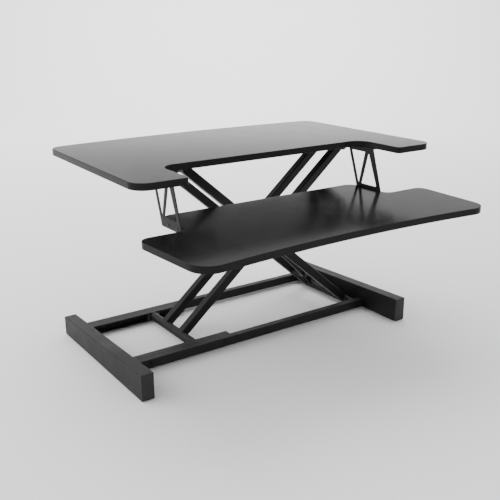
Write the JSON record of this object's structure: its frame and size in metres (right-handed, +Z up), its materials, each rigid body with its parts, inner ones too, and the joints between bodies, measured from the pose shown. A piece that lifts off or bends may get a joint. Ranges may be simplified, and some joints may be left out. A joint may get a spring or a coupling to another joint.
{
  "type": "standing desk converter",
  "caption": "Height-adjustable desk riser: board with a front recess, keyboard tray on leaning brackets, and a scissor lift that slides in tracks above a two-foot base.",
  "frame": {"origin": "on the floor, at the middle of the object's bounding box in X and Y", "axes": "+Z up, +X to the right of the user sitting at it, +Y away from the user"},
  "size_m": [0.6498, 0.558, 0.39],
  "materials": {
    "laminate": "satin black laminate on board",
    "powder_coat": "fine-texture charcoal powder coat",
    "black_plastic": "lightly textured moulded plastic",
    "rubber": "moulded rubber",
    "black_screws": "black-oxide steel",
    "steel": "turned, zinc-plated steel",
    "nylon": "black nylon",
    "cylinder_paint": "smooth black paint",
    "chrome": "polished chrome"
  },
  "bodies": {
    "base": {"foot_left": "powder_coat", "foot_right": "powder_coat", "foot_end_caps": "black_plastic", "foot_pads": "rubber", "lower_rail_front": "powder_coat", "lower_rail_rear": "powder_coat", "lower_track_front": "powder_coat", "lower_track_rear": "powder_coat", "lower_track_screws": "black_screws", "lower_pivot_shaft": "steel", "lower_pivot_collars": "black_screws"},
    "arms_outer": {"outer_arm_front": "powder_coat", "outer_arm_rear": "powder_coat", "lower_pivot_tube": "powder_coat", "lower_pivot_bushes": "nylon", "upper_slide_bar": "powder_coat", "spring_cross_tube": "powder_coat", "spring_lugs": "powder_coat", "spring_lower_pin": "steel", "centre_bolt_front": "black_screws", "centre_bolt_rear": "black_screws", "centre_nuts": "black_screws", "centre_spacers": "steel"},
    "arms_inner": {"inner_arm_front": "powder_coat", "inner_arm_rear": "powder_coat", "lower_slide_bar": "powder_coat", "upper_pivot_tube": "powder_coat", "upper_pivot_bushes": "nylon", "centre_bushes": "nylon", "crank_plates": "powder_coat"},
    "platform": {"top_board": "laminate", "keyboard_tray": "laminate", "tray_bracket_left": "powder_coat", "tray_bracket_right": "powder_coat", "tray_screws": "black_screws", "bracket_screws": "black_screws", "upper_track_front": "powder_coat", "upper_track_rear": "powder_coat", "upper_track_screws": "black_screws", "upper_pivot_shaft": "steel", "upper_pivot_bracket_front": "powder_coat", "upper_pivot_bracket_rear": "powder_coat", "pivot_bracket_screws": "black_screws", "lever_bracket_left": "powder_coat", "lever_bracket_right": "powder_coat", "lever_pins": "steel", "lever_screws": "black_screws", "lever_springs": "steel"},
    "lower_slides": {"lower_slide_blocks": "nylon"},
    "upper_slides": {"upper_slide_blocks": "nylon"},
    "gas_cylinder": {"spring_cylinder": "cylinder_paint", "spring_guide": "cylinder_paint"},
    "gas_rod": {"spring_rod": "chrome", "spring_upper_pin": "steel"},
    "lever_left": {"release_lever_left": "black_plastic"},
    "lever_right": {"release_lever_right": "black_plastic"}
  },
  "joints": [
    {"name": "lift", "type": "hinge", "parent": "base", "child": "arms_outer", "pos_m": [0.272, 0.131, 0.0135], "axis": [0, 1, 0], "range_deg": [-33.3, 7.48]},
    {"name": "scissor", "type": "hinge", "parent": "arms_outer", "child": "arms_inner", "pos_m": [0.06884, 0.131, 0.18675], "axis": [0, 1, 0], "range_deg": [-15.2, 66.8]},
    {"name": "platform_level", "type": "hinge", "parent": "arms_inner", "child": "platform", "pos_m": [0.272, 0.131, 0.36], "axis": [0, 1, 0], "range_deg": [-33.5, 7.7]},
    {"name": "lower_slide", "type": "hinge", "parent": "arms_inner", "child": "lower_slides", "pos_m": [-0.13432, 0.131, 0.0135], "axis": [0, 1, 0], "range_deg": [-33.5, 7.7]},
    {"name": "upper_slide", "type": "hinge", "parent": "arms_outer", "child": "upper_slides", "pos_m": [-0.13432, 0.131, 0.36], "axis": [0, 1, 0], "range_deg": [-7.7, 33.5]},
    {"name": "spring_swing", "type": "hinge", "parent": "arms_outer", "child": "gas_cylinder", "pos_m": [0.20961, 0.131, 0.06671], "axis": [0, 1, 0], "range_deg": [-1.2, 5.1]},
    {"name": "spring_stroke", "type": "slide", "parent": "gas_cylinder", "child": "gas_rod", "axis": [-0.7073, 0, 0.7069], "range_m": [-0.0252, 0.0058]},
    {"name": "lever_left_squeeze", "type": "hinge", "parent": "platform", "child": "lever_left", "pos_m": [-0.283, -0.025, 0.371], "axis": [0, 1, 0], "range_deg": [0, 12], "stiffness_Nm_per_rad": 1.2, "springref_deg": -14.32},
    {"name": "lever_right_squeeze", "type": "hinge", "parent": "platform", "child": "lever_right", "pos_m": [0.283, -0.025, 0.371], "axis": [0, -1, 0], "range_deg": [0, 12], "stiffness_Nm_per_rad": 1.2, "springref_deg": -14.32}
  ],
  "couplings": [
    {"joint": "scissor", "follows": "lift", "ratio": -2},
    {"joint": "platform_level", "follows": "lift", "ratio": 1},
    {"joint": "lower_slide", "follows": "lift", "ratio": 1},
    {"joint": "upper_slide", "follows": "lift", "ratio": -1},
    {"joint": "spring_swing", "follows": "lift", "ratio": -0.15},
    {"joint": "spring_stroke", "follows": "lift", "m_per_rad": 0.04293}
  ]
}
